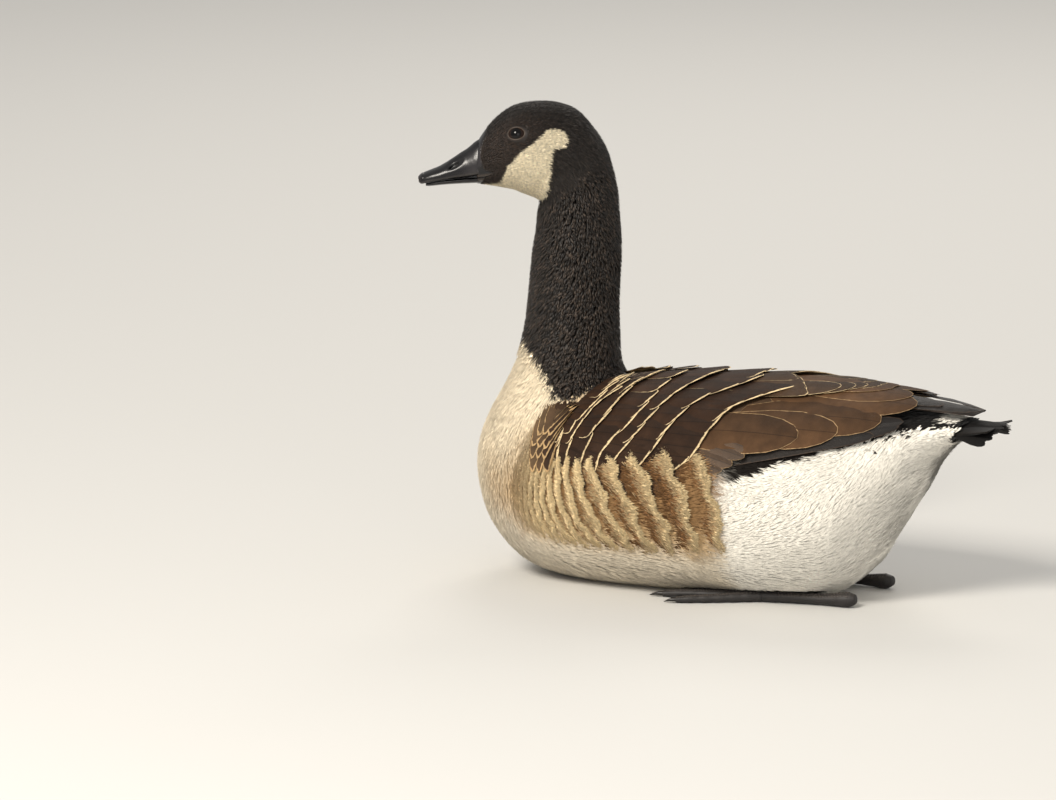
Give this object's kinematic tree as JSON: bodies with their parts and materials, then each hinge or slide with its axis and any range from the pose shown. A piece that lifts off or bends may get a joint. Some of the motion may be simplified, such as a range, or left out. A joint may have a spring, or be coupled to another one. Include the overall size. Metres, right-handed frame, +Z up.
{
  "type": "canada goose",
  "caption": "Life-size still model of a large goose afloat, resting on its belly with folded wings, upright neck and head turned a little to its left.",
  "frame": {"origin": "on the floor under the middle of the bird's box, on its middle plane", "axes": "+Z up, -Y towards the breast, +X towards the bird's left side"},
  "size_m": [0.2062, 0.5518, 0.4297],
  "materials": {
    "body_feathers": "matt",
    "black_feathers": "matt",
    "wing_feathers": "matt",
    "bill_horn": "satin",
    "eye": "gloss",
    "foot_skin": "matt"
  },
  "bodies": {
    "root": {"torso": "body_feathers", "neck": "black_feathers", "head": "black_feathers", "bill_upper": "bill_horn", "bill_lower": "bill_horn", "eye_left": "eye", "eye_right": "eye", "wing_left": "wing_feathers", "wing_right": "wing_feathers", "tail": "black_feathers", "thigh_left": "body_feathers", "thigh_right": "body_feathers", "shank_left": "foot_skin", "shank_right": "foot_skin", "foot_left": "foot_skin", "foot_right": "foot_skin"}
  },
  "joints": []
}
